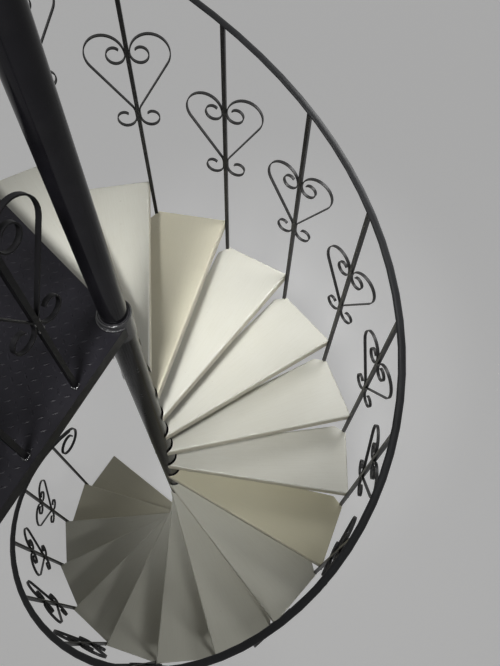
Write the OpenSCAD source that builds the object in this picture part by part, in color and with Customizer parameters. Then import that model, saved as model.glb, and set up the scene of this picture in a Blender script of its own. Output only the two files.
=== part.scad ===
// Spiral staircase: a steel column with wedge treads, scrollwork balusters, a helical handrail and a landing.
// Sizes are in millimetres. The origin is on the floor at the column's centre, and Z points up.

/* [Stair] */
// Height from one tread to the next
rise = 190; // [175:1:205]
// Number of treads below the landing
tread_count = 17; // [14:1:18]
// Turn from one tread to the next, in degrees
tread_turn = 20.8; // [19.5:0.1:22]
// Distance from the column's centre to the front outer corner of a tread
stair_radius = 905; // [820:5:1000]
// Heading of the landing's open edge, in degrees from +X
landing_heading = 69.6; // [64:0.1:74]

/* [Treads] */
// Thickness of a tread
tread_t = 50; // [40:1:60]
// How far a tread's back outer corner reaches behind the front of the tread above
tread_overlap = 25; // [15:1:40]
// Turn of a tread's straight outer edge, in degrees
outer_edge_turn = 9; // [6:0.5:12]
// Radius on a tread's front and back edges
nosing_round = 8; // [5:0.5:12]
// Radius on a tread's straight outer edge
outer_round = 5; // [3:0.5:8]
// Distance from the column's centre to the line of a tread's front or back edge
edge_offset = 47; // [42:1:48]
// Heading that the cut across a tread's back outer corner faces, in degrees from its front corner
corner_cut_heading = 67; // [50:1:75]
// How deep a baluster's inner corner is let into the tread at that cut
bar_housing = 6; // [0:1:8]

/* [Column] */
// Radius of the column
column_r = 40; // [36:0.5:41]
// Wall thickness of the column
column_wall = 4; // [3:0.5:6]
// How far the column rises past the middle of the guard rail
column_past = 50; // [20:5:150]
// Height of the domed cap on the column
cap_h = 22; // [15:1:35]
// Clearance between the column and the sleeves around it
sleeve_clear = 0.3; // [0.2:0.1:0.6]
// Outer radius of the sleeves and hubs on the column
sleeve_r = 43.5; // [43:0.5:46]
// Radius of the curved seats that the treads' narrow ends meet
seat_r = 49; // [48.5:0.5:52]
// Angle that a seat covers, in degrees
seat_angle = 110; // [60:5:130]
// How far a seat stays below the top of its tread
seat_drop = 5; // [2:1:20]
// Height of a hub
hub_h = 110; // [95:5:130]
// Radius of the floor flange
flange_r = 110; // [100:5:140]
// Thickness of the floor flange
flange_t = 12; // [8:1:20]
// Diameter of the circle that the floor bolts lie on
flange_pcd = 170; // [150:5:180]
// Number of floor bolts
flange_bolts = 4; // [3:1:8]
// Radius of the floor bolt holes
flange_hole_r = 7; // [5:0.5:9]

/* [Tread brackets] */
// Reach of a bracket from the column's centre
bracket_reach = 560; // [450:10:650]
// Width of a bracket's plate at the hub
bracket_root_w = 80; // [60:2:90]
// Width of a bracket's plate at its tip
bracket_tip_w = 40; // [30:2:60]
// Thickness of a bracket's plate and web
bracket_t = 6; // [4:1:10]
// Depth of a bracket's web at its tip
web_tip_h = 12; // [8:1:30]

/* [Balusters] */
// Side of the square baluster bars
bar = 14; // [12:1:16]
// Distance from a tread's front corner back to the middle of its baluster
bar_inset = 5; // [0:1:15]
// Width of the scroll strip
strip_w = 12; // [8:1:14]
// Thickness of the scroll strip
strip_t = 4; // [3:0.5:6]
// Height of the middle of the heart's lobes above the lower tread
heart_z = 770; // [700:5:810]
// Number of balusters at the bottom that are plain bars, without a heart
plain_bars = 1; // [0:1:16]
// Number of the baluster whose heart sits lower than the others
low_heart = 12; // [1:1:18]
// How much lower that heart sits
low_heart_drop = 30; // [0:2:60]
// Radius of the heart's lobes
lobe_r = 67; // [55:1:80]
// Angle at which the heart's sides leave the lobes, in degrees below level
side_angle = 35; // [28:1:40]
// Radius of the bend where the heart's sides meet the bar
foot_bend_r = 42; // [20:1:60]
// Length that runs down the bar between the bend and the tail
tail_run = 23; // [5:1:40]
// Largest radius of the curls inside the lobes
curl_r = 33; // [28:1:38]
// Largest radius of the tail curls
tail_r = 37; // [30:1:44]
// Loss of radius at each quarter turn of an inner curl
curl_step = 3.5; // [2:0.5:5]
// Loss of radius at each quarter turn of a tail curl
tail_step = 5.5; // [3:0.5:7]
// How far a curl turns from the bar to its tip, in degrees
curl_turn = 320; // [275:5:355]

/* [Handrail] */
// Height of the handrail's middle above the front edge of a tread
rail_height = 918; // [880:2:1000]
// Width of the handrail
rail_w = 28; // [24:1:50]
// Depth of the handrail
rail_h = 12; // [10:1:26]
// How far the handrail runs past the last baluster
rail_past = 55; // [20:5:120]
// Clear width between the first baluster and the scroll at the handrail's lower end
scroll_gap = 12; // [5:1:60]
// Radius at which that scroll begins
scroll_r = 110; // [60:5:120]
// How much of its radius the scroll keeps at each quarter turn
scroll_keep = 0.85; // [0.75:0.01:0.92]
// How far the scroll turns under the handrail, in degrees
scroll_turn = 420; // [270:6:480]
// How far the scroll stands outwards from the handrail's line, in degrees
scroll_splay = 10; // [0:1:25]
// Width of the scroll's bar
scroll_w = 16; // [10:1:20]
// Thickness of the scroll's bar
scroll_t = 9; // [6:1:11]

/* [Landing] */
// How much further than the treads the landing reaches to its side wall
landing_side = 25; // [-50:5:300]
// How far the landing's back edge lies behind the outer corner of its open edge
landing_back = 22; // [10:1:200]
// Distance from the column's centre to the landing's guarded edge
landing_lip = 46; // [30:1:60]
// Thickness of the landing's chequered plate
plate_t = 6; // [4:1:10]
// Depth of the angle frame under the plate
angle_h = 40; // [30:1:80]
// Width of the frame's bottom flange
angle_w = 40; // [30:1:60]
// Thickness of the angle frame
angle_t = 6; // [4:1:10]
// Number of joists across the landing
joist_count = 2; // [1:1:4]
// Height of the landing's collar above the plate
collar_above = 20; // [10:1:80]
// How far the collar reaches below the plate
collar_below = 75; // [60:1:110]
// Outer radius of the landing's collar
collar_r = 50; // [48:0.5:58]
// Radius of the holes that fix the landing to the walls
wall_hole_r = 7; // [5:0.5:9]
// Distance between neighbouring holes in the back of the frame
back_hole_pitch = 280; // [200:10:320]
// Distance between the two holes in the side of the frame
side_hole_pitch = 560; // [400:10:700]

/* [Landing guard] */
// Distance from the column's centre to the first guard baluster
guard_first = 229; // [200:1:260]
// Distance from one guard baluster to the next
guard_pitch = 211; // [180:1:220]
// Number of guard balusters, the first and every second one with a heart
guard_count = 4; // [2:1:4]
// Distance from the column's centre line out to the middle of the guard
guard_out = 23; // [0:1:36]
// Height of the middle of the guard hearts' lobes above the landing
guard_heart_z = 568; // [450:5:700]
// Radius of the guard hearts' lobes
guard_lobe_r = 59; // [50:1:80]
// Angle at which the guard hearts' sides leave the lobes, in degrees below level
guard_side_angle = 29; // [26:1:40]
// Radius of the bend where the guard hearts' sides meet the bar
guard_bend_r = 20; // [10:1:60]
// Length that runs down the bar between the guard hearts' bends and tails
guard_tail_run = 5; // [2:1:40]
// Height of the guard rail's middle above the landing
guard_height = 1000; // [950:5:1020]
// How far the guard rail's end is set in from the column's centre
guard_rail_start = 26; // [20:1:30]

/* [Hidden] */
landing_z = (tread_count + 1) * rise;
column_top = landing_z + guard_height + column_past;
landing_length = stair_radius + landing_side;
landing_depth = stair_radius * sin(landing_heading) + landing_back;
rail_slope = rise / tread_turn;
front_turn = asin(edge_offset / stair_radius);
seat_gap = 0.3;
bar_front = bar / 2 + seat_gap;
strip_x = bar / 2 + strip_t / 2 - 0.5;
strip_slim = 0.05;
reach = 2 * stair_radius;
round_fn = 48;

function two(n) = n < 10 ? str("0", n) : str(n);
function tread_name(n) = str("tread_", two(n));
function baluster_name(n) = str("baluster_", two(n));

steel_black = "#1e1e20";
steel_satin = "#303032";
rail_grey = "#333637";
plate_black = "#26262a";
tread_cream = "#dcdcce";

// Height of a tread's top, counted from 1 at the floor; the landing is one past the last tread.
function level(n) = n * rise;
// Heading of the front outer corner of a tread.
function heading(n) = landing_heading - (tread_count + 1 - n) * tread_turn;
function polar(r, a) = [r * cos(a), r * sin(a)];

// Middle of the baluster in front of a tread, in that tread's own frame.
function bar_place() = polar(stair_radius, 0) - polar(bar_inset, front_turn) + polar(bar_front, front_turn - 90);
bar_radius = norm(bar_place());
rail_r = bar_radius;
bar_heading = atan2(bar_place()[1], bar_place()[0]);

// Distance of the straight outer edge from the column's centre at a heading within the tread.
function edge_radius(a) = stair_radius * cos(outer_edge_turn) / cos(a - outer_edge_turn);
back_heading = tread_turn + asin(tread_overlap / stair_radius);
back_corner = polar(edge_radius(back_heading), back_heading);
back_turn = back_heading - asin(edge_offset / norm(back_corner));

// Height of the handrail's middle at a heading, measured from the first tread's front corner.
function rail_z(a) = level(1) + rail_height + (a - heading(1)) * rail_slope;

// Half section of a slab whose edge at x = 0 is rounded at the top and the bottom.
module rounded_edge_section(r) {
    translate([r, 0]) square([reach, tread_t]);
    translate([0, r]) square([2 * r, tread_t - 2 * r]);
    translate([r, r]) circle(r, $fn = round_fn);
    translate([r, tread_t - r]) circle(r, $fn = round_fn);
}

// Slab that lies to the left of a line, from a point and along a heading, with a rounded edge on the line.
module edge_slab(start, turn, before, run, r) {
    translate([start[0], start[1], -tread_t])
        rotate([0, 0, turn])
            translate([-before, 0, 0])
                rotate([90, 0, 90]) linear_extrude(before + run) rounded_edge_section(r);
}

// One tread in its own frame: its front outer corner is on +X and its top is at z = 0.
module tread_solid() {
    cut_turn = corner_cut_heading - tread_turn - front_turn;
    cut_reach = bar_front * (abs(cos(cut_turn)) + abs(sin(cut_turn))) - bar_housing;
    difference() {
        intersection() {
            edge_slab(polar(edge_offset, front_turn - 90), front_turn, 0, reach, nosing_round);
            edge_slab(polar(stair_radius, 0), outer_edge_turn + 90, stair_radius / 2, reach, outer_round);
            edge_slab(back_corner, back_turn + 180, stair_radius / 2, reach, nosing_round);
        }
        translate([0, 0, -tread_t - 1]) cylinder(r = seat_r + seat_gap, h = tread_t + 2, $fn = round_fn);
        rotate([0, 0, tread_turn])
            translate([bar_place()[0], bar_place()[1], -tread_t - 1])
                rotate([0, 0, front_turn]) {
                    translate([-bar_front, -bar_front, 0]) cube([2 * bar_front, 2 * bar_front, tread_t + 2]);
                    rotate([0, 0, cut_turn])
                        translate([-cut_reach, -stair_radius / 4, 0])
                            cube([stair_radius, stair_radius / 2, tread_t + 2]);
                }
    }
}

module tread(n) {
    color(tread_cream)
        translate([0, 0, level(n)]) rotate([0, 0, heading(n)]) tread_solid();
}

module base_flange() {
    color(steel_black)
        difference() {
            cylinder(r = flange_r, h = flange_t, $fn = 96);
            for (i = [0:flange_bolts - 1])
                rotate([0, 0, 45 + i * 360 / flange_bolts])
                    translate([flange_pcd / 2, 0, -1]) cylinder(r = flange_hole_r, h = flange_t + 2, $fn = 32);
        }
}

module column() {
    color(steel_black)
        translate([0, 0, flange_t])
            difference() {
                cylinder(r = column_r, h = column_top - flange_t, $fn = 96);
                translate([0, 0, -1])
                    cylinder(r = column_r - column_wall, h = column_top + 2, $fn = 96);
            }
}

// Shallow dome with a short plug inside the tube.
module column_cap() {
    dome_r = (column_r * column_r + cap_h * cap_h) / (2 * cap_h);
    color(steel_black)
        translate([0, 0, column_top]) {
            intersection() {
                translate([0, 0, cap_h - dome_r]) sphere(dome_r, $fn = 96);
                cylinder(r = column_r, h = cap_h, $fn = 96);
            }
            translate([0, 0, -cap_h])
                cylinder(r = column_r - column_wall - sleeve_clear, h = cap_h, $fn = 96);
        }
}

module ring(outer, height) {
    difference() {
        cylinder(r = outer, h = height, $fn = 96);
        translate([0, 0, -1]) cylinder(r = column_r + sleeve_clear, h = height + 2, $fn = 96);
    }
}

// Plain sleeves that hold the hubs apart, one below each hub and one below the landing's collar.
module spacer_sleeves() {
    color(steel_black) {
        translate([0, 0, flange_t]) ring(sleeve_r, level(1) - hub_h - flange_t);
        for (n = [1:tread_count - 1])
            translate([0, 0, level(n)]) ring(sleeve_r, rise - hub_h);
        translate([0, 0, level(tread_count)]) ring(sleeve_r, rise - collar_below);
    }
}

// Hub with a curved seat, a tapered plate and a web under the tread, in the tread's own frame.
module bracket_solid() {
    web_h = hub_h - tread_t - bracket_t;
    translate([0, 0, -hub_h]) ring(sleeve_r, hub_h);
    rotate([0, 0, back_heading / 2])
        difference() {
            union() {
                translate([0, 0, -tread_t - bracket_t])
                    linear_extrude(tread_t + bracket_t - seat_drop)
                        intersection() {
                            circle(seat_r, $fn = 96);
                            polygon([
                                [0, 0],
                                polar(4 * seat_r, -seat_angle / 2),
                                polar(4 * seat_r, seat_angle / 2)]);
                        }
                translate([0, 0, -tread_t - bracket_t])
                    linear_extrude(bracket_t) {
                        polygon([
                            [0, -bracket_root_w / 2],
                            [bracket_reach - bracket_tip_w / 2, -bracket_tip_w / 2],
                            [bracket_reach - bracket_tip_w / 2, bracket_tip_w / 2],
                            [0, bracket_root_w / 2]]);
                        translate([bracket_reach - bracket_tip_w / 2, 0])
                            circle(bracket_tip_w / 2, $fn = round_fn);
                    }
                translate([0, bracket_t / 2, -tread_t - bracket_t])
                    rotate([90, 0, 0])
                        linear_extrude(bracket_t)
                            polygon([
                                [0, 0],
                                [0, -web_h],
                                [seat_r + bracket_t, -web_h],
                                [bracket_reach - bracket_tip_w, -web_tip_h],
                                [bracket_reach - bracket_tip_w, 0]]);
            }
            translate([0, 0, -hub_h - 1]) cylinder(r = column_r + sleeve_clear + 1, h = hub_h + 2, $fn = 96);
        }
}

module tread_brackets() {
    color(steel_black)
        for (n = [1:tread_count])
            translate([0, 0, level(n)]) rotate([0, 0, heading(n)]) bracket_solid();
}

// Arc of the scroll strip in the heart's plane, around a centre and from one angle to another.
module strip_arc(centre, r, from, to) {
    turn = to - from;
    corner = 2 * r / cos(turn / 4);
    translate(centre)
        intersection() {
            difference() {
                circle(r + strip_t / 2, $fn = 96);
                circle(r - strip_t / 2, $fn = 96);
            }
            polygon([
                [0, 0],
                polar(2 * r, from),
                polar(corner, from + turn / 4),
                polar(corner, from + turn * 3 / 4),
                polar(2 * r, to)]);
        }
}

// Straight run of the scroll strip, a little thinner than the arcs and set into them at both ends.
module strip_line(start, along, run) {
    translate(start)
        rotate(along)
            translate([-1, strip_slim - strip_t / 2]) square([run + 2, strip_t - 2 * strip_slim]);
}

// Curl that begins at a point on the strip's line beside the bar and tightens at each quarter turn.
module curl(start, r, step) {
    centre = [
        start + [r, 0],
        start + [r, -step],
        start + [r + step, -step],
        start + [r + step, 0]];
    for (i = [0:3])
        strip_arc(centre[i], r - i * step, 180 + 90 * i, 180 + min(90 * (i + 1), curl_turn));
}

// Right half of a heart: an inner curl, the lobe, the straight side, the bend and the tail.
module heart_half(z, r, side, bend, run) {
    lobe_start = [strip_x, z];
    lobe_centre = lobe_start + [r, 0];
    side_start = lobe_centre + polar(r, -side);
    side_x = bend * (1 - cos(side));
    side_length = (side_start[0] - strip_x - side_x) / sin(side);
    side_end = side_start - polar(side_length, 90 - side);
    bend_end = [strip_x, side_end[1] - bend * sin(side)];
    tail_start = bend_end - [0, run];
    curl(lobe_start, curl_r, curl_step);
    strip_arc(lobe_centre, r, 90, 180);
    strip_arc(lobe_centre, r, -side, 90);
    strip_line(side_end, 90 - side, side_length);
    strip_arc(bend_end + [bend, 0], bend, 180 - side, 180);
    strip_line(tail_start, 90, run);
    curl(tail_start, tail_r, tail_step);
}

module plain_bar(low, high) {
    translate([-bar / 2, -bar / 2, low]) cube([bar, bar, high - low]);
}

// Heart over the bar's front and back faces; its plane is local XZ.
module heart(z, r, side, bend, run) {
    rotate([90, 0, 0])
        linear_extrude(strip_w, center = true) {
            heart_half(z, r, side, bend, run);
            mirror([1, 0]) heart_half(z, r, side, bend, run);
        }
}

// Baluster at the back outer corner of tread n and the front outer corner of the tread above it.
module baluster(n) {
    bar_top = rail_z(heading(n + 1) + bar_heading) - level(n) - rail_h / 2 - seat_gap;
    slope = atan(rail_slope * 180 / (PI * bar_radius));
    color(steel_satin)
        translate([0, 0, level(n)])
            rotate([0, 0, heading(n + 1)])
                translate([bar_place()[0], bar_place()[1], 0])
                    rotate([0, 0, front_turn + 90])
                        difference() {
                            union() {
                                plain_bar(-tread_t, bar_top + bar);
                                if (n > plain_bars)
                                    heart(n == low_heart ? heart_z - low_heart_drop : heart_z,
                                        lobe_r, side_angle, foot_bend_r, tail_run);
                            }
                            translate([0, 0, bar_top])
                                rotate([0, -slope, 0])
                                    translate([-3 * bar, -bar, 0]) cube([6 * bar, 2 * bar, 4 * bar]);
                        }
}

// Outline of the handrail: flat below and rounded above.
rail_side = rail_h / 4;
rail_section = concat(
    [[-rail_w / 2 + 3, -rail_h / 2], [rail_w / 2 - 3, -rail_h / 2]],
    [for (a = [0:22.5:180]) [rail_w / 2 * cos(a), rail_side - rail_h / 2 + (rail_h - rail_side) * sin(a)]]);

// Rings along the helix as [heading, scale]; the end rings shrink to round the ends.
rail_fall = atan(rail_slope * 180 / (PI * rail_r));
scroll_past = scroll_gap + bar / 2 + scroll_t / 2
    + scroll_r * (sin(rail_fall) + pow(scroll_keep, (270 - rail_fall) / 90));
rail_low = heading(2) + bar_heading - scroll_past * 180 / (PI * rail_r);
rail_high = heading(tread_count + 1) + bar_heading + rail_past * 180 / (PI * rail_r);
end_turn = rail_h / 2 * 180 / (PI * rail_r);
rail_steps = ceil((rail_high - rail_low) / 5);
rail_rings = concat(
    [for (a = [80:-20:20]) [rail_low - end_turn * sin(a), cos(a)]],
    [for (i = [0:rail_steps]) [rail_low + i * (rail_high - rail_low) / rail_steps, 1]],
    [for (a = [20:20:80]) [rail_high + end_turn * sin(a), cos(a)]]);

// Point of the scroll after a turn, in the upright plane of the scroll and from the handrail's end.
function scroll_point(turn, aside) =
    polar(scroll_r * pow(scroll_keep, turn / 90) + aside, 90 + rail_fall + turn) - polar(scroll_r, 90 + rail_fall);

module scroll() {
    outer = [for (a = [0:6:scroll_turn]) scroll_point(a, scroll_t / 2)];
    inner = [for (a = [scroll_turn:-6:0]) scroll_point(a, -scroll_t / 2)];
    root = [for (side = [-1, 1]) polar(rail_h, rail_fall) + polar(side * scroll_t / 2, 90 + rail_fall)];
    rotate([0, 0, rail_low])
        translate([rail_r, 0, rail_z(rail_low)])
            rotate([90, 0, 90 + scroll_splay])
                linear_extrude(scroll_w, center = true) polygon(concat(outer, inner, root));
}

module helical_rail() {
    sides = len(rail_section);
    last = len(rail_rings) - 1;
    points = [
        for (ring = rail_rings, p = rail_section)
            let (r = rail_r + p[0] * ring[1])
            [r * cos(ring[0]), r * sin(ring[0]), rail_z(ring[0]) + p[1] * ring[1]]];
    walls = [
        for (i = [0:last - 1], j = [0:sides - 1])
            let (k = (j + 1) % sides)
            each [
                [i * sides + j, (i + 1) * sides + k, (i + 1) * sides + j],
                [i * sides + j, i * sides + k, (i + 1) * sides + k]]];
    low_end = [for (j = [sides - 1:-1:0]) j];
    high_end = [for (j = [0:sides - 1]) last * sides + j];
    polyhedron(points, concat(walls, [low_end, high_end]), convexity = 8);
}

module handrail() {
    color(rail_grey)
        union() {
            helical_rail();
            scroll();
        }
}

// Point where the line through p along heading a meets the line through q along heading b.
function crossing(p, a, q, b) =
    let (u = polar(1, a), v = polar(1, b), w = q - p)
    p + u * (w[0] * v[1] - w[1] * v[0]) / (u[0] * v[1] - u[1] * v[0]);

// The landing's outline drawn in from its edge by d: column corner, open edge, back wall, side wall.
function landing_outline(d) =
    let (
        open_edge = polar(d, landing_heading + 90),
        guard_edge = [0, d - landing_lip],
        back_edge = [0, landing_depth - d],
        side_edge = [d - landing_length, 0])
    [
        crossing(open_edge, landing_heading, guard_edge, 0),
        crossing(open_edge, landing_heading, back_edge, 0),
        crossing(back_edge, 0, side_edge, 90),
        crossing(side_edge, 90, guard_edge, 0)];

module landing_collar() {
    color(steel_black)
        translate([0, 0, landing_z - collar_below]) ring(collar_r, collar_below + collar_above);
}

module around_collar() {
    difference() {
        children();
        translate([0, 0, landing_z - 3 * angle_h])
            cylinder(r = collar_r + seat_gap, h = 6 * angle_h, $fn = 96);
    }
}

module landing_plate() {
    color(plate_black)
        around_collar()
            translate([0, 0, landing_z - plate_t]) linear_extrude(plate_t) polygon(landing_outline(0));
}

// Holes along the X or Y side of the frame, spread evenly about their middle.
module wall_holes(count, pitch, turn) {
    for (i = [0:count - 1])
        rotate([0, 0, turn])
            translate([(i - (count - 1) / 2) * pitch, 0, 0])
                rotate([90, 0, 0]) cylinder(r = wall_hole_r, h = 4 * angle_t, center = true, $fn = 32);
}

module landing_frame() {
    low = landing_z - plate_t - angle_h;
    hole_z = landing_z - plate_t - angle_h / 2;
    back_middle = (landing_outline(0)[1][0] - landing_length) / 2;
    color(steel_black)
        around_collar()
            difference() {
                union() {
                    translate([0, 0, low])
                        linear_extrude(angle_h)
                            difference() {
                                polygon(landing_outline(0));
                                polygon(landing_outline(angle_t));
                            }
                    translate([0, 0, low])
                        linear_extrude(angle_t)
                            difference() {
                                polygon(landing_outline(0));
                                polygon(landing_outline(angle_w));
                            }
                    for (i = [1:joist_count])
                        translate([-i * landing_length / (joist_count + 1), angle_t - landing_lip, low + angle_t])
                            cube([angle_t, landing_depth + landing_lip - 2 * angle_t, angle_h - angle_t]);
                }
                translate([back_middle, landing_depth - angle_t, hole_z]) wall_holes(4, back_hole_pitch, 0);
                translate([angle_t - landing_length, landing_depth / 2, hole_z])
                    wall_holes(2, side_hole_pitch, 90);
            }
}

guard_y = -guard_out;
guard_rail_z = landing_z + guard_height;

module guard_balusters() {
    bar_h = guard_rail_z - landing_z - rail_h / 2;
    color(steel_satin)
        for (i = [0:guard_count - 1])
            translate([-guard_first - i * guard_pitch, guard_y, landing_z]) {
                plain_bar(0, bar_h);
                if (i % 2 == 0) heart(guard_heart_z, guard_lobe_r, guard_side_angle, guard_bend_r, guard_tail_run);
            }
}

module guard_rail() {
    color(rail_grey)
        difference() {
            translate([-guard_rail_start, guard_y, guard_rail_z])
                rotate([90, 0, -90])
                    linear_extrude(landing_length - guard_rail_start) polygon(rail_section);
            translate([0, 0, guard_rail_z - rail_h])
                cylinder(r = column_r + sleeve_clear, h = 2 * rail_h, $fn = 96);
        }
}

base_flange();
column();
column_cap();
spacer_sleeves();
tread_brackets();
for (n = [1:tread_count]) {
    tread(n);
    baluster(n);
}
handrail();
landing_collar();
landing_plate();
landing_frame();
guard_balusters();
guard_rail();
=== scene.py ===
import bpy
import math
from mathutils import Matrix, Vector


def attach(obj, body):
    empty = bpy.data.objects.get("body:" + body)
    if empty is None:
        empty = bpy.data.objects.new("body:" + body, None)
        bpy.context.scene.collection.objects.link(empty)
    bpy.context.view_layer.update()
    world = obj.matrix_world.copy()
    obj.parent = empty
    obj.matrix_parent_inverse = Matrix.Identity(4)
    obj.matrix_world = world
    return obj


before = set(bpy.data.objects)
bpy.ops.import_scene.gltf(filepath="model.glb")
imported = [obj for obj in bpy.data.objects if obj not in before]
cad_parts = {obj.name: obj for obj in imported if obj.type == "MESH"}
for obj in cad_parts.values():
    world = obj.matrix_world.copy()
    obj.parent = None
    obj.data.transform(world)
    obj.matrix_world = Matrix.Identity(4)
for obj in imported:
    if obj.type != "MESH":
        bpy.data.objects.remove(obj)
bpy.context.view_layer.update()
scene = bpy.context.scene

# Camera, solved from the photo's tread corners, rail, column and landing edge
CAMERA_PLACE = (-0.575, -0.667, 4.755)
CAMERA_TURN = (29.55, -1.26, -64.42)
LENS_MM = 19.72
SENSOR_MM = 24.0
SIGHT = 200.0

# Treads and column: the part's sizes in metres and degrees, as in its source
RISE = 0.190
COUNT = 17
TURN = 20.8
RADIUS = 0.905  # from the column's centre to a tread's front outer corner
EDGE_OFFSET = 0.047  # from the column's centre to the line of a tread's front edge
OVERLAP = 0.025  # of a tread's back outer corner with the tread above
TREAD_T = 0.050
BRACKET_T = 0.006
SLEEVE_R = 0.0435  # of the sleeves and hubs on the column
FLANGE_T = 0.012
FLANGE_BOLT_R = 0.085
FLANGE_BOLTS = 4

# Balusters and handrail
BAR = 0.014
BAR_INSET = 0.005  # from a tread's front corner back to the middle of its bar
BAR_GAP = 0.0003  # between a bar and the tread's front edge
STRIP_W = 0.012
PLAIN_BARS = 1  # at the bottom, without a heart
HEART_Z = 0.770  # middle of the lobes above the lower tread
HEART_FOOT = 0.230  # from there down to where the sides meet the bar
LOW_HEART = 12
LOW_DROP = 0.030
RAIL_UP = 0.918  # middle of the rail above a tread's front edge
RAIL_H = 0.012

# Landing, with its open edge at the heading LAND and its guarded edge along X
LAND = 69.6
LANDING = (COUNT + 1) * RISE
LANDING_LIP = 0.046  # from the column's centre out to the guarded edge
LANDING_SIDE = 0.025  # further out than the treads
LANDING_BACK = 0.022  # behind the outer corner of the open edge
LANDING_X = -(RADIUS + LANDING_SIDE)
LANDING_Y = RADIUS * math.sin(math.radians(LAND)) + LANDING_BACK
PLATE_T = 0.006
FRAME_T = 0.006
JOISTS = 2
COLLAR_R = 0.050
COLLAR_UP = 0.020  # above the plate
WALL_HOLE_DROP = 0.020  # below the plate
BACK_HOLES = 4
BACK_HOLE_PITCH = 0.280
SIDE_HOLE_PITCH = 0.560

# Guard of the landing
GUARD_FIRST = 0.229  # from the column's centre to the first bar
GUARD_PITCH = 0.211
GUARD_COUNT = 4
GUARD_Y = -0.023
GUARD_UP = 1.0  # middle of the rail above the landing
GUARD_HEART_Z = 0.568
GUARD_HEART_FOOT = 0.236

# Directions within a tread, in degrees from its front outer corner
FRONT_TURN = math.degrees(math.asin(EDGE_OFFSET / RADIUS))
BACK_HEADING = TURN + math.degrees(math.asin(OVERLAP / RADIUS))
MIDDLE = BACK_HEADING / 2


def polar(r, a, z=0.0):
    """Point at a radius and a heading in degrees."""
    return Vector((r * math.cos(math.radians(a)), r * math.sin(math.radians(a)), z))


def turned(a):
    """Turn about Z by an angle in degrees."""
    return Matrix.Rotation(math.radians(a), 4, "Z")


def facing(point, direction, turn=0.0):
    """Place at a point with Z along a direction."""
    along = Vector(direction).to_track_quat("Z", "Y").to_matrix().to_4x4()
    return Matrix.Translation(point) @ along @ turned(turn)


def level(n):
    """Height of the top of tread n."""
    return n * RISE


def heading(n):
    """Heading of the front outer corner of tread n."""
    return LAND - (COUNT + 1 - n) * TURN


BAR_PLACE = polar(RADIUS, 0) - polar(BAR_INSET, FRONT_TURN) + polar(BAR / 2 + BAR_GAP, FRONT_TURN - 90)
BAR_RADIUS = BAR_PLACE.length
BAR_HEADING = math.degrees(math.atan2(BAR_PLACE.y, BAR_PLACE.x))


def bar_frame(n):
    """Place of baluster n: X along the heart, -Y out of the stair, Z up from the top of tread n."""
    middle = Matrix.Translation(BAR_PLACE + Vector((0, 0, level(n))))
    return turned(heading(n + 1)) @ middle @ turned(FRONT_TURN + 90)


def guard_frame(i):
    """Place of guard bar i, counted from 0 at the column: Z up from the landing."""
    return Matrix.Translation((-GUARD_FIRST - i * GUARD_PITCH, GUARD_Y, LANDING))


def bracket_frame(n):
    """Place of bracket n: X out along the middle of tread n, Z up from its top."""
    return Matrix.Translation((0, 0, level(n))) @ turned(heading(n)) @ turned(MIDDLE)


def add_camera():
    data = bpy.data.cameras.new("camera")
    data.sensor_fit = "VERTICAL"
    data.sensor_height = SENSOR_MM
    data.lens = LENS_MM
    data.clip_end = SIGHT
    camera = bpy.data.objects.new("camera", data)
    camera.location = CAMERA_PLACE
    camera.rotation_euler = [math.radians(a) for a in CAMERA_TURN]
    scene.collection.objects.link(camera)
    scene.camera = camera


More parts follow.
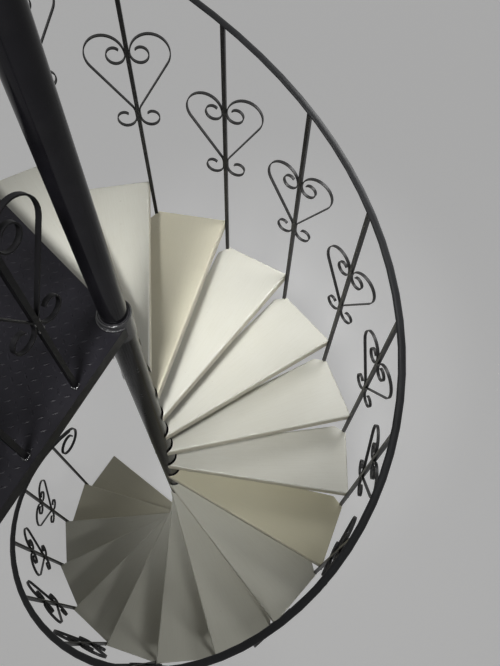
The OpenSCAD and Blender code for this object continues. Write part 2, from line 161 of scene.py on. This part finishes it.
# Shapes
class Shape:
    """Vertices and faces of many small forms that become one piece."""

    def __init__(self):
        self.verts = []
        self.faces = []

    def add(self, verts, faces, place=Matrix()):
        first = len(self.verts)
        self.verts += [place @ Vector(v) for v in verts]
        self.faces += [[first + i for i in f] for f in faces]

    def revolve(self, profile, place, sides):
        """Turns a list of (radius, height) about Z; a radius of 0 closes an end."""
        verts, rings = [], []
        for r, z in profile:
            if r == 0:
                rings.append([len(verts)] * sides)
                verts.append((0, 0, z))
            else:
                rings.append(range(len(verts), len(verts) + sides))
                verts += [tuple(polar(r, 360 * i / sides, z)) for i in range(sides)]
        faces = []
        for a, b in zip(rings, rings[1:]):
            for i in range(sides):
                j = (i + 1) % sides
                quad = [a[i], a[j], b[j], b[i]]
                corners = [v for k, v in enumerate(quad) if v not in quad[:k]]
                if len(corners) > 2:
                    faces.append(corners)
        self.add(verts, faces, place)

    def bead(self, path, r, flat=1.0, closed=False, sides=7, rough=0.2, phase=0.0, up=Vector((0, 0, 1))):
        """A weld bead: a tube along a path whose radius ripples, and narrows at open ends."""
        fine_ripple, slow_ripple, end_share = 1.9, 0.73, 0.45
        count = len(path)
        verts, faces = [], []
        for i, p in enumerate(path):
            ahead = path[(i + 1) % count] if closed else path[min(i + 1, count - 1)]
            behind = path[i - 1] if closed else path[max(i - 1, 0)]
            along = (ahead - behind).normalized()
            side = along.cross(up).normalized()
            top = side.cross(along).normalized()
            ripple = math.sin(fine_ripple * i + phase) + 0.5 * math.sin(slow_ripple * i + 2.3 * phase)
            size = r * (1 + rough * ripple)
            if not closed:
                size *= min(1.0, end_share + (1 - end_share) * min(i, count - 1 - i))
            for k in range(sides):
                a = 2 * math.pi * k / sides
                verts.append(tuple(p + side * size * math.cos(a) + top * size * flat * math.sin(a)))
        for i in range(count if closed else count - 1):
            for k in range(sides):
                a, b = i * sides, (i + 1) % count * sides
                faces.append([a + k, a + (k + 1) % sides, b + (k + 1) % sides, b + k])
        if not closed:
            faces.append(list(range(sides))[::-1])
            faces.append([(count - 1) * sides + k for k in range(sides)])
        self.add(verts, faces)

    def make(self, name, material, smooth=40.0):
        """Makes the piece. Edges that turn by more than smooth degrees stay sharp."""
        mesh = bpy.data.meshes.new(name)
        mesh.from_pydata([tuple(v) for v in self.verts], [], self.faces)
        mesh.validate()
        mesh.update()
        piece = bpy.data.objects.new(name, mesh)
        scene.collection.objects.link(piece)
        mesh.materials.append(material)
        mesh.polygons.foreach_set("use_smooth", [True] * len(mesh.polygons))
        mesh.set_sharp_from_angle(angle=math.radians(smooth))
        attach(piece, "root")


def arc_path(r, start, end, steps, z):
    """Points on an arc about the column."""
    return [polar(r, start + (end - start) * i / steps, z) for i in range(steps + 1)]


def line_path(a, b, step):
    """Points on a straight line, about a step apart."""
    a, b = Vector(a), Vector(b)
    count = max(2, round((b - a).length / step))
    return [a.lerp(b, i / count) for i in range(count + 1)]


def short_path(place, middle, half):
    """Five points on a straight line, half its run to each side of its middle."""
    return [place @ Vector([m + t * h for m, h in zip(middle, half)]) for t in (-1.0, -0.5, 0.0, 0.5, 1.0)]


# Materials
def new_material(name):
    material = bpy.data.materials.new(name)
    material.use_nodes = True
    tree = material.node_tree
    return material, tree, tree.nodes["Principled BSDF"]


def node(tree, kind, **values):
    """Adds a node; each value is set on the socket of that name, or else on the node."""
    n = tree.nodes.new(kind)
    for key, value in values.items():
        if key in n.inputs.keys():
            n.inputs[key].default_value = value
        else:
            setattr(n, key, value)
    return n


def position(tree, scale=(1, 1, 1), turn=0.0):
    """Object coordinates, turned about Z and then stretched."""
    place = node(tree, "ShaderNodeTexCoord")
    spin = node(tree, "ShaderNodeMapping", Rotation=(0, 0, math.radians(turn)))
    stretch = node(tree, "ShaderNodeMapping", Scale=scale)
    tree.links.new(place.outputs["Object"], spin.inputs["Vector"])
    tree.links.new(spin.outputs["Vector"], stretch.inputs["Vector"])
    return stretch.outputs["Vector"]


def noise(tree, where, scale, detail=4.0, rough=0.55, warp=0.0):
    n = node(tree, "ShaderNodeTexNoise", Scale=scale, Detail=detail, Roughness=rough, Distortion=warp)
    tree.links.new(where, n.inputs["Vector"])
    return n.outputs["Fac"]


def ramp(tree, fac, low, high, at=(0.35, 0.65)):
    """Colour that goes from low to high as fac goes from the first to the second value of at."""
    n = node(tree, "ShaderNodeValToRGB")
    n.color_ramp.elements[0].position, n.color_ramp.elements[1].position = at
    n.color_ramp.elements[0].color = (*low, 1)
    n.color_ramp.elements[1].color = (*high, 1)
    tree.links.new(fac, n.inputs["Fac"])
    return n.outputs["Color"]


def span(tree, fac, low, high, between=(0.3, 0.7)):
    """Number that goes from low to high as fac goes from the first to the second value of between."""
    n = node(tree, "ShaderNodeMapRange")
    for key, value in zip(("From Min", "From Max", "To Min", "To Max"), (*between, low, high)):
        n.inputs[key].default_value = value
    tree.links.new(fac, n.inputs["Value"])
    return n.outputs["Result"]


def maths(tree, operation, a, b):
    n = node(tree, "ShaderNodeMath", operation=operation)
    for socket, value in zip(n.inputs, (a, b)):
        if isinstance(value, (int, float)):
            socket.default_value = value
        else:
            tree.links.new(value, socket)
    return n.outputs["Value"]


def blend_colour(tree, fac, a, b):
    """Colour a where fac is 0 and colour b where it is 1."""
    n = node(tree, "ShaderNodeMix", data_type="RGBA")
    for socket, value in ((n.inputs[0], fac), (n.inputs[6], a), (n.inputs[7], b)):
        if isinstance(value, tuple):
            socket.default_value = (*value, 1)
        else:
            tree.links.new(value, socket)
    return n.outputs[2]


def relief(tree, shader, *layers):
    """Chains bumps of (height, strength, distance) into the shader's normal."""
    last = None
    for height, strength, distance in layers:
        n = node(tree, "ShaderNodeBump", Strength=strength, Distance=distance)
        tree.links.new(height, n.inputs["Height"])
        if last:
            tree.links.new(last, n.inputs["Normal"])
        last = n.outputs["Normal"]
    tree.links.new(last, shader.inputs["Normal"])


def edge_mask(tree, radius):
    """1 on sharp edges and 0 on flats, from the difference between the bevelled and the true normal."""
    bevel = node(tree, "ShaderNodeBevel", samples=4, Radius=radius)
    true = node(tree, "ShaderNodeNewGeometry")
    dot = node(tree, "ShaderNodeVectorMath", operation="DOT_PRODUCT")
    tree.links.new(bevel.outputs["Normal"], dot.inputs[0])
    tree.links.new(true.outputs["Normal"], dot.inputs[1])
    return span(tree, dot.outputs["Value"], 1.0, 0.0, between=(0.80, 0.99))


def shade_side_mask(tree, most):
    """0 on faces that look up, and most on upright faces and undersides, where shade is painted."""
    true = node(tree, "ShaderNodeNewGeometry")
    parts = node(tree, "ShaderNodeSeparateXYZ")
    tree.links.new(true.outputs["Normal"], parts.inputs["Vector"])
    return span(tree, parts.outputs["Z"], most, 0.0, between=(0.3, 0.8))


DUST = (0.075, 0.073, 0.068)
WORN_STEEL = (0.13, 0.12, 0.11)


def black_paint(name, colour, gloss, specular, hammer, hammer_scale, dust, worn=0.3, streak=(6, 6, 6)):
    """Brushed black paint on steel: gloss that varies, streaks, hammer marks, pale dust and worn edges."""
    material, tree, shader = new_material(name)
    link = tree.links.new
    broad = noise(tree, position(tree), scale=5.0, detail=5.0)
    streaks = noise(tree, position(tree, streak), scale=3.0, detail=6.0, rough=0.6)
    fine = noise(tree, position(tree), scale=420.0, detail=3.0)
    marks = noise(tree, position(tree), scale=hammer_scale, detail=3.0, rough=0.45)
    settled = noise(tree, position(tree), scale=11.0, detail=6.0, rough=0.7)
    chips = noise(tree, position(tree), scale=38.0, detail=4.0)
    base = ramp(tree, broad, [c * 0.75 for c in colour], [c * 1.3 for c in colour])
    dusty = blend_colour(tree, span(tree, settled, 0.0, dust, (0.5, 0.8)), base, DUST)
    edges = maths(tree, "MULTIPLY", edge_mask(tree, radius=0.0012), span(tree, chips, 0.0, worn, (0.5, 0.68)))
    link(blend_colour(tree, edges, dusty, WORN_STEEL), shader.inputs["Base Color"])
    smear = maths(tree, "ADD", span(tree, streaks, *gloss), span(tree, broad, -0.03, 0.05))
    link(maths(tree, "ADD", smear, maths(tree, "MULTIPLY", edges, 0.2)), shader.inputs["Roughness"])
    relief(tree, shader, (marks, hammer, 0.0009), (streaks, 0.12, 0.0005), (fine, 0.05, 0.0002))
    shader.inputs["Specular IOR Level"].default_value = specular
    return material


column_black = black_paint(
    "column_black", (0.0066, 0.0063, 0.0080), gloss=(0.09, 0.24), specular=0.20,
    hammer=0.06, hammer_scale=18.0, dust=0.05, worn=0.15, streak=(26, 26, 0.7))
# Painted sheen: the collar's black paint is made lighter than the column's to stand in for its highlights
collar_sheen_black = black_paint(
    "collar_sheen_black", (0.044, 0.043, 0.047), gloss=(0.14, 0.28), specular=0.55,
    hammer=0.1, hammer_scale=40.0, dust=0.08, worn=0.4)
baluster_black = black_paint(
    "baluster_black", (0.0200, 0.0197, 0.0200), gloss=(0.34, 0.5), specular=0.36,
    hammer=0.35, hammer_scale=120.0, dust=0.12, worn=0.35, streak=(40, 40, 3))
guard_black = black_paint(
    "guard_black", (0.0032, 0.0031, 0.0037), gloss=(0.34, 0.48), specular=0.14,
    hammer=0.3, hammer_scale=120.0, dust=0.04, worn=0.15, streak=(40, 40, 3))
rail_grey = black_paint(
    "rail_grey", (0.027, 0.028, 0.030), gloss=(0.40, 0.52), specular=0.24,
    hammer=0.06, hammer_scale=60.0, dust=0.1, worn=0.25, streak=(9, 9, 9))
plate_black = black_paint(
    "plate_black", (0.0130, 0.0124, 0.0156), gloss=(0.34, 0.48), specular=0.12,
    hammer=0.15, hammer_scale=26.0, dust=0.06, worn=0.06)
frame_black = black_paint(
    "frame_black", (0.0060, 0.0058, 0.0066), gloss=(0.34, 0.52), specular=0.16,
    hammer=0.3, hammer_scale=90.0, dust=0.08)
# Partly painted highlight: the welds' black paint is made lighter than the column's to add to their glints
weld_black_glint = black_paint(
    "weld_black_glint", (0.0200, 0.0198, 0.0210), gloss=(0.10, 0.24), specular=0.8,
    hammer=0.5, hammer_scale=240.0, dust=0.05, worn=0.15)
screw_black = black_paint(
    "screw_black", (0.020, 0.020, 0.021), gloss=(0.28, 0.42), specular=0.5,
    hammer=0.1, hammer_scale=200.0, dust=0.2, worn=0.7)

CREAM = ((0.745, 0.738, 0.650), (0.775, 0.770, 0.690))
# Painted warm shade for the treads' upright faces and undersides
SIDE_SHADE_TAN = (0.76, 0.715, 0.565)
GRAIN_TAN = (0.60, 0.565, 0.45)
SPECK_BROWN = (0.45, 0.40, 0.31)
SCUFF_GREY = (0.42, 0.40, 0.36)
BARE_WOOD = (0.50, 0.42, 0.30)

# Tints of the cream are painted shade: the lower treads, which lie in shade, are a little warmer, and treads
# 1, 2, 10 and 15, which lie in shadow, are tinted tan, tread 10 also darker
SHADE_TINTS = {n: (1, 1, 0.97) for n in range(1, 10)}
SHADE_TINTS[1] = SHADE_TINTS[2] = (0.98, 0.95, 0.84)
SHADE_TINTS[10] = (0.90, 0.86, 0.70)
SHADE_TINTS[15] = (0.99, 0.95, 0.84)


def tread_cream(tree, n, turn):
    """The paint's colour before wear: a soft variation on top, painted warm shade on the sides, and the
    tread's painted shade tint.
    """
    # Painted shade: this tread's tint stands in for the warm shade that falls on it
    shade_tint = SHADE_TINTS.get(n, (1, 1, 1))
    low, high = [[t * c for t, c in zip(shade_tint, colour)] for colour in CREAM]
    broad = noise(tree, position(tree, turn=turn), scale=2.4 + 0.07 * n)
    top = ramp(tree, broad, low, high, at=(0.3, 0.7))
    # Painted shade: upright faces and undersides turn warm tan
    return blend_colour(tree, shade_side_mask(tree, most=0.9), top, SIDE_SHADE_TAN)


def tread_paint(n):
    """Cream satin paint on timber: grain and brush marks run along the tread, and feet have scuffed it."""
    material, tree, shader = new_material("tread_cream_%02d" % n)
    link = tree.links.new
    turn = -(heading(n) + MIDDLE)
    along = position(tree, (1.2, 26, 26), turn)
    brushed = position(tree, (2.5, 150, 150), turn)
    across = position(tree, (3, 22, 3), turn + 61)
    grain = noise(tree, along, scale=5.0 + 0.219 * n, detail=6.0, rough=0.62, warp=0.5)
    brush = noise(tree, brushed, scale=4.0, detail=3.0, rough=0.5, warp=0.2)
    speck = noise(tree, position(tree), scale=95.0 + n, detail=2.0, rough=0.4)
    scuffs = noise(tree, across, scale=6.0 + 0.1 * n, detail=6.0, rough=0.7, warp=1.1)
    chips = noise(tree, position(tree), scale=24.0, detail=5.0, rough=0.65)
    cream = tread_cream(tree, n, turn)
    grained = blend_colour(tree, span(tree, grain, 0.0, 0.16, (0.42, 0.72)), cream, GRAIN_TAN)
    specked = blend_colour(tree, span(tree, speck, 0.0, 0.35, (0.73, 0.80)), grained, SPECK_BROWN)
    scuffed = blend_colour(tree, span(tree, scuffs, 0.0, 0.16, (0.60, 0.78)), specked, SCUFF_GREY)
    worn = maths(tree, "MULTIPLY", edge_mask(tree, radius=0.004), span(tree, chips, 0.0, 0.42, (0.50, 0.70)))
    link(blend_colour(tree, worn, scuffed, BARE_WOOD), shader.inputs["Base Color"])
    dulled = span(tree, scuffs, 0.0, 0.16, (0.55, 0.8))
    link(maths(tree, "ADD", span(tree, brush, 0.34, 0.46), dulled), shader.inputs["Roughness"])
    relief(tree, shader, (grain, 0.10, 0.0006), (brush, 0.10, 0.0003), (speck, 0.04, 0.0003))
    shader.inputs["Specular IOR Level"].default_value = 0.45
    return material


NODE_PAINTS = {
    "guard_balusters": guard_black,
    "landing_plate": plate_black,
    "landing_frame": frame_black,
    "landing_collar": collar_sheen_black,
    "handrail": rail_grey,
    "guard_rail": rail_grey,
}


def node_paint(name):
    """The paint of a CAD node."""
    if name in NODE_PAINTS:
        return NODE_PAINTS[name]
    if name.startswith("tread_") and name != "tread_brackets":
        return tread_paint(int(name[-2:]))
    return baluster_black if name.startswith("baluster_") else column_black


def paint_nodes():
    for name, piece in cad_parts.items():
        piece.data.materials.clear()
        piece.data.materials.append(node_paint(name))


# Chequer pattern of the landing plate
PIP_PITCH = 0.0262
PIP_FOOT = (0.0115, 0.0040, -0.0002)
PIP_SHOULDER = (0.0080, 0.0024, 0.0007)
PIP_CREST = 0.0009
HALF_LENS = [(1.0, 0.0), (0.66, 0.62), (0.25, 0.96), (-0.25, 0.96), (-0.66, 0.62)]
LENS = HALF_LENS + [(-x, -y) for x, y in HALF_LENS]
EDGE_MARGIN = 0.009
COLLAR_MARGIN = 0.012
BAR_MARGIN = (0.020, 0.022)


def pip_fits(x, y):
    """Whether a point lies on the plate and clear of its edges, the collar and the guard bars."""
    open_edge = polar(1, LAND)
    inside = min(open_edge.x * y - open_edge.y * x, y + LANDING_LIP, LANDING_Y - y, x - LANDING_X)
    beside_bar = any(abs(x + GUARD_FIRST + k * GUARD_PITCH) < BAR_MARGIN[0] for k in range(GUARD_COUNT))
    at_bar = beside_bar and abs(y - GUARD_Y) < BAR_MARGIN[1]
    return inside >= EDGE_MARGIN and math.hypot(x, y) >= COLLAR_R + COLLAR_MARGIN and not at_bar


def add_pip(shape, place):
    """A lens-shaped stud with sloping sides and a slightly raised middle."""
    count = len(LENS)
    verts = [(a * x, b * y, z) for a, b, z in (PIP_FOOT, PIP_SHOULDER) for x, y in LENS]
    verts.append((0, 0, PIP_CREST))
    sides = [(k, (k + 1) % count) for k in range(count)]
    faces = [[k, j, count + j, count + k] for k, j in sides]
    faces += [[count + k, count + j, 2 * count] for k, j in sides]
    shape.add(verts, faces, place)


def landing_pips():
    pips = Shape()
    cells = math.ceil(-LANDING_X / PIP_PITCH)
    for i in range(-cells, cells):
        for j in range(cells):
            x, y = i * PIP_PITCH, j * PIP_PITCH - LANDING_LIP
            if pip_fits(x, y):
                add_pip(pips, Matrix.Translation((x, y, LANDING)) @ turned(45 + 90 * ((i + j) % 2)))
    pips.make("landing_pips", plate_black, smooth=60)


# Radii of the weld beads, and how far a bead's middle stands off the corner that it fills.
# A pair holds the distances from the corner's two faces.
COLLAR_BEAD = 0.0042
COLLAR_OFF = 0.0012
RIM_BEAD = 0.0035
RIM_INSET = 0.0038
RIM_OFF = 0.0002
FOOT_BEAD = 0.0034
FOOT_OFF = (0.0008, 0.0012)
GUARD_RAIL_BEAD = 0.0022
GUARD_RAIL_OFF = 0.0005
HANDRAIL_BEAD = 0.0021
HANDRAIL_OFF = (0.0004, 0.0006)
HEART_BEAD = 0.0020
HEART_OFF = (0.0008, -0.0002)
SLEEVE_BEAD = 0.0045
SLEEVE_OFF = 0.0010
HUB_BEAD = 0.0026
HUB_BEAD_R = 0.0495
HUB_OFF = 0.0004
WEB_BEAD = 0.0024
WEB_OFF = (0.0012, 0.0010)
STITCH_BEAD = 0.0022
STITCH_OFF = 0.0008
JOIST_BEAD = 0.0022
JOIST_OFF = (0.0005, 0.0010)

# Runs of the weld beads
RAIL_RUN = {"guard": 0.006, "handrail": 0.007}  # half the length
HEART_RUN = {"lobe": 0.018, "foot": 0.012}
TAIL_DROP = 0.028  # from a heart's foot down to its tails
WEB_START = 0.004  # below the bracket's plate
STITCHES = (0.10, 0.24, 0.38)
STEP = 0.003
STEPS = 16
JOIST_STEP = 0.006
JOIST_INSET = 0.008
LIP_INSET = 0.0015


def foot_ring(place):
    """Path around a guard bar's foot, kept within the lip of the landing."""
    half, count = BAR / 2 + FOOT_OFF[0], 28
    lip = -LANDING_LIP + LIP_INSET
    ring = []
    for k in range(count):
        a = 2 * math.pi * k / count
        x, y = [half * math.copysign(abs(t) ** 0.5, t) for t in (math.cos(a), math.sin(a))]
        p = place @ Vector((x, y, FOOT_OFF[1]))
        ring.append(p if p.y > lip else Vector((p.x, lip, p.z)))
    return ring


def landing_welds():
    """Beads at the collar's foot and rim, and at the foot and the top of each guard bar."""
    welds = Shape()
    foot_z, rim_z = LANDING + COLLAR_OFF, LANDING + COLLAR_UP + RIM_OFF
    collar_foot = arc_path(COLLAR_R + COLLAR_OFF, start=LAND + 4, end=245, steps=66, z=foot_z)
    collar_rim = arc_path(COLLAR_R - RIM_INSET, start=0, end=357, steps=110, z=rim_z)
    welds.bead(collar_foot, COLLAR_BEAD, phase=0.4)
    welds.bead(collar_rim, RIM_BEAD, flat=0.7, closed=True, rough=0.14)
    z = GUARD_UP - RAIL_H / 2 - GUARD_RAIL_OFF
    for i in range(GUARD_COUNT):
        place = guard_frame(i)
        welds.bead(foot_ring(place), FOOT_BEAD, closed=True, phase=1.3 * i)
        for side in (-1, 1):
            x = side * (BAR / 2 + GUARD_RAIL_OFF)
            path = short_path(place, middle=(x, 0, z), half=(0, RAIL_RUN["guard"], 0))
            welds.bead(path, GUARD_RAIL_BEAD, phase=i)
    welds.make("landing_welds", weld_black_glint, smooth=70)


def heart_welds(shape, place, z, foot, phase):
    """Beads that hold a heart to its bar at the lobes, the foot and the tails, on the front and the back."""
    foot_z = z - foot
    up = place.to_3x3() @ Vector((0, 1, 0))
    for height, run in ((z, "lobe"), (foot_z, "foot"), (foot_z - TAIL_DROP, "foot")):
        for side in (-1, 1):
            for face in (-1, 1):
                middle = (side * (BAR / 2 + HEART_OFF[0]), face * (STRIP_W / 2 + HEART_OFF[1]), height)
                path = short_path(place, middle, half=(0, 0, HEART_RUN[run] / 2))
                shape.bead(path, HEART_BEAD, sides=6, phase=phase + height * 9 + side + face, up=up)


def baluster_welds():
    """Beads of the hearts, and of each baluster's top, which follow the handrail's slope."""
    joints = Shape()
    rail_z = RISE + RAIL_UP + BAR_HEADING * RISE / TURN - RAIL_H / 2 - HANDRAIL_OFF[1]
    slope = RISE * 180 / (TURN * math.pi * BAR_RADIUS)
    for n in range(1, COUNT + 1):
        place = bar_frame(n)
        if n > PLAIN_BARS:
            heart_welds(joints, place, HEART_Z - (LOW_DROP if n == LOW_HEART else 0.0), HEART_FOOT, n)
        for side in (-1, 1):
            x = side * (BAR / 2 + HANDRAIL_OFF[0])
            path = short_path(place, middle=(x, 0, rail_z + x * slope), half=(0, RAIL_RUN["handrail"], 0))
            joints.bead(path, HANDRAIL_BEAD, phase=n + side)
    for i in range(0, GUARD_COUNT, 2):
        heart_welds(joints, guard_frame(i), GUARD_HEART_Z, GUARD_HEART_FOOT, 30 + i)
    joints.make("baluster_welds", weld_black_glint, smooth=70)


def one_bracket_welds(shape, n):
    """Beads of bracket n: hub to plate, hub to web, and stitches between plate and web."""
    place = bracket_frame(n)
    under = -TREAD_T - BRACKET_T
    for phase, headings in ((n, range(-44, -5, 3)), (n + 2, range(6, 45, 3))):
        hub_path = [place @ polar(HUB_BEAD_R, a, under - HUB_OFF) for a in headings]
        shape.bead(hub_path, HUB_BEAD, phase=phase)
    for side in (-1, 1):
        x, y = SLEEVE_R + WEB_OFF[0], side * (BRACKET_T / 2 + WEB_OFF[1])
        web_path = [place @ Vector((x, y, under - WEB_START - STEP * k)) for k in range(STEPS)]
        shape.bead(web_path, WEB_BEAD, phase=n, up=Vector((0, 1, 0)))
        y = side * (BRACKET_T / 2 + STITCH_OFF)
        for start in STITCHES:
            stitch = [place @ Vector((start + STEP * k, y, under - STITCH_OFF)) for k in range(STEPS)]
            shape.bead(stitch, STITCH_BEAD, phase=n + start * 10)


def bracket_welds():
    """Beads around the lowest sleeve, on each bracket, and along both sides of the landing's joists."""
    seams = Shape()
    sleeve_foot = arc_path(SLEEVE_R + SLEEVE_OFF, start=0, end=357, steps=110, z=FLANGE_T + SLEEVE_OFF)
    seams.bead(sleeve_foot, SLEEVE_BEAD, closed=True)
    for n in range(1, COUNT + 1):
        one_bracket_welds(seams, n)
    z = LANDING - PLATE_T - JOIST_OFF[1]
    for side in (-1, 1):
        for joist in range(1, JOISTS + 1):
            x = LANDING_X * joist / (JOISTS + 1) + FRAME_T / 2 + side * (FRAME_T / 2 + JOIST_OFF[0])
            path = line_path((x, -LANDING_LIP + JOIST_INSET, z), (x, LANDING_Y - JOIST_INSET, z), JOIST_STEP)
            seams.bead(path, JOIST_BEAD, phase=joist)
    seams.make("bracket_welds", weld_black_glint, smooth=70)


# Screws and bolts
DOME_HEAD = [
    (0.50, 0.0), (0.50, 0.14), (0.46, 0.30), (0.36, 0.42),
    (0.26, 0.46), (0.22, 0.44), (0.21, 0.20), (0.0, 0.18)]
SET_SCREW = [
    (0.0030, 0.0), (0.0030, 0.0012), (0.0026, 0.0016),
    (0.0016, 0.0016), (0.0015, 0.0005), (0.0, 0.0004)]
SET_SCREW_HEIGHTS = (-0.078, -0.098)
BRACKET_SCREWS = ((0.13, 0.022), (0.27, 0.018), (0.41, 0.014), (0.53, 0.010))
WASHER_R = 0.0125
WASHER_T = 0.0025
FLOOR_BOLT = dict(across=0.019, high=0.010, stud=0.010)
WALL_BOLT = dict(across=0.018, high=0.0078)


def dome_screw(shape, place, width, sides):
    """Screw with a domed head and a round socket in it."""
    shape.revolve([(r * width, h * width) for r, h in DOME_HEAD], place, sides)


def hex_head(shape, place, across, high, stud=0.0):
    """Hexagon with a chamfered top, and a stud end standing out of it if asked for."""
    corner = across / math.sqrt(3)
    bore = corner * 0.5
    shape.revolve([(corner, 0.0), (corner, high * 0.84), (corner * 0.86, high), (bore, high)], place, 6)
    if stud:
        r, tip = across * 0.27, high + stud
        shape.revolve([(r, high * 0.9), (r, high + stud * 0.86), (r * 0.8, tip), (0.0, tip)], place, 14)
    else:
        shape.revolve([(bore, high), (0.0, high)], place, 6)


def bolt(shape, place, across, high, stud=0.0):
    """Hexagon head on a washer."""
    r, thick = WASHER_R, WASHER_T
    shape.revolve([(r, 0.0), (r, thick * 0.8), (r * 0.97, thick), (r * 0.4, thick)], place, 24)
    hex_head(shape, place @ Matrix.Translation((0, 0, thick)), across, high, stud)


def baluster_screws():
    """One screw through each bar into the middle of each tread's edge that it stands at."""
    fixings = Shape()
    for n in range(1, COUNT + 1):
        place = bar_frame(n)
        outwards = place.to_3x3() @ Vector((0, -1, 0))
        for z in (-TREAD_T / 2, RISE - TREAD_T / 2):
            head = facing(place @ Vector((0, -BAR / 2, z)), outwards, turn=11 * n)
            dome_screw(fixings, head, width=0.010, sides=14)
    fixings.make("baluster_screws", screw_black)


def bracket_screws():
    """Pairs of screws up into each tread, and two set screws in the back of each hub."""
    screws = Shape()
    for n in range(1, COUNT + 1):
        place = bracket_frame(n)
        for r, off in BRACKET_SCREWS:
            for side in (-1, 1):
                point = place @ Vector((r, side * off, -TREAD_T - BRACKET_T))
                head = facing(point, (0, 0, -1), turn=17 * n + 40 * r * side)
                dome_screw(screws, head, width=0.009, sides=12)
        back = polar(1, heading(n) + MIDDLE + 180)
        for height in SET_SCREW_HEIGHTS:
            point = back * (SLEEVE_R - 0.0002) + Vector((0, 0, level(n) + height))
            screws.revolve(SET_SCREW, facing(point, back), 12)
    screws.make("bracket_screws", screw_black)


def anchor_bolts():
    """Bolts of the floor flange, and of the landing's frame to the back and the side wall."""
    anchors = Shape()
    for i in range(FLANGE_BOLTS):
        foot = polar(FLANGE_BOLT_R, 45 + i * 360 / FLANGE_BOLTS, FLANGE_T)
        bolt(anchors, Matrix.Translation(foot) @ turned(23 * i), **FLOOR_BOLT)
    hole_z = LANDING - PLATE_T - WALL_HOLE_DROP
    back_middle = (LANDING_Y / math.tan(math.radians(LAND)) + LANDING_X) / 2
    for k in range(BACK_HOLES):
        x = (k - (BACK_HOLES - 1) / 2) * BACK_HOLE_PITCH
        place = facing((back_middle + x, LANDING_Y - FRAME_T, hole_z), (0, -1, 0), turn=40 * x)
        bolt(anchors, place, **WALL_BOLT)
    for y in (-SIDE_HOLE_PITCH / 2, SIDE_HOLE_PITCH / 2):
        place = facing((LANDING_X + FRAME_T, LANDING_Y / 2 + y, hole_z), (1, 0, 0), turn=50 * y)
        bolt(anchors, place, **WALL_BOLT)
    anchors.make("anchor_bolts", screw_black, smooth=30)


# Stage: a pale floor and soft studio light, with an extra glow that only the camera and mirrors see
FLOOR_REACH = 30
FLOOR_COLOUR = (0.78, 0.78, 0.77, 1)
FLOOR_GLOW = 0.32
WHITE = (1, 1, 1, 1)
SKY_LIGHT = 0.08
SKY_GLOW = 0.42


def seen(tree):
    """1 for what the camera and mirrors see, and 0 for the light that reaches the stair."""
    rays = node(tree, "ShaderNodeLightPath")
    return maths(tree, "MAXIMUM", rays.outputs["Is Camera Ray"], rays.outputs["Is Glossy Ray"])


def add_floor():
    mesh = bpy.data.meshes.new("floor")
    corners = [(x * FLOOR_REACH, y * FLOOR_REACH, 0) for x, y in ((-1, -1), (1, -1), (1, 1), (-1, 1))]
    mesh.from_pydata(corners, [], [(0, 1, 2, 3)])
    floor = bpy.data.objects.new("floor", mesh)
    scene.collection.objects.link(floor)
    paint, tree, shader = new_material("floor_paint")
    shader.inputs["Base Color"].default_value = FLOOR_COLOUR
    shader.inputs["Roughness"].default_value = 0.85
    shader.inputs["Specular IOR Level"].default_value = 0.2
    shader.inputs["Emission Color"].default_value = WHITE
    tree.links.new(maths(tree, "MULTIPLY", seen(tree), FLOOR_GLOW), shader.inputs["Emission Strength"])
    mesh.materials.append(paint)


def add_world():
    world = bpy.data.worlds.new("studio")
    scene.world = world
    world.use_nodes = True
    tree = world.node_tree
    sky = tree.nodes["Background"]
    sky.inputs["Color"].default_value = WHITE
    glow = maths(tree, "MULTIPLY", seen(tree), SKY_GLOW)
    tree.links.new(maths(tree, "ADD", glow, SKY_LIGHT), sky.inputs["Strength"])


def add_lamp(name, place, target, size, watts, spread=180.0):
    """Round soft lamp that the camera doesn't see; its light keeps within the spread, in degrees."""
    data = bpy.data.lights.new(name, "AREA")
    data.shape = "DISK"
    data.size = size
    data.energy = watts
    data.spread = math.radians(spread)
    lamp = bpy.data.objects.new(name, data)
    lamp.location = place
    lamp.rotation_euler = (Vector(target) - Vector(place)).to_track_quat("-Z", "Y").to_euler()
    lamp.visible_camera = False
    scene.collection.objects.link(lamp)


add_camera()
paint_nodes()
landing_pips()
landing_welds()
baluster_welds()
bracket_welds()
baluster_screws()
bracket_screws()
anchor_bolts()
add_floor()
add_world()
add_lamp("key", place=(-1.13, -0.38, 6.0), target=(0.48, 0.05, 2.6), size=0.5, watts=5.2, spread=38.0)
add_lamp("fill", place=(1.40, -0.75, 3.8), target=(0.4, -0.2, 2.4), size=0.8, watts=9.6)
add_lamp("side", place=(-1.2, -1.9, 3.2), target=(-0.4, 0.3, 0.8), size=0.5, watts=0.6, spread=46.0)

scene.view_settings.view_transform = "Standard"
